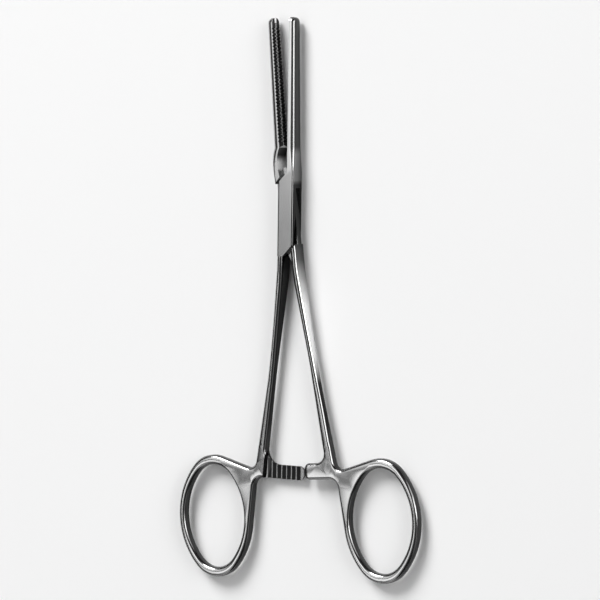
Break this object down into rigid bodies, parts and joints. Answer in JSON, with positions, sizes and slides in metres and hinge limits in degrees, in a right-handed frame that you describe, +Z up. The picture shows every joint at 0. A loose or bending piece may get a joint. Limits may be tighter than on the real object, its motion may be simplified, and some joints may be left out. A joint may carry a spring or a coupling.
{
  "type": "atraumatic clamp",
  "caption": "Straight atraumatic vascular clamp with a box lock, fine toothed jaws, finger rings and a ratchet that holds it shut.",
  "frame": {"origin": "on the pivot axis, at the underside of the box lock", "axes": "+Y from the pivot towards the jaw tips, +Z up through the flat of the instrument, +X to the right seen from above with the jaws pointing away"},
  "size_m": [0.0804, 0.1604, 0.0052],
  "materials": {
    "box_half": "satin",
    "male_half": "satin",
    "pivot_pin": "polished"
  },
  "bodies": {
    "box_half": {"box_half": "box_half", "pivot_pin": "pivot_pin"},
    "male_half": {"male_half": "male_half"}
  },
  "joints": [
    {"name": "box_lock_hinge", "type": "hinge", "parent": "box_half", "child": "male_half", "pos_m": [0, 0, 0], "axis": [0, 0, 1], "range_deg": [-5.8, 44.2]}
  ]
}
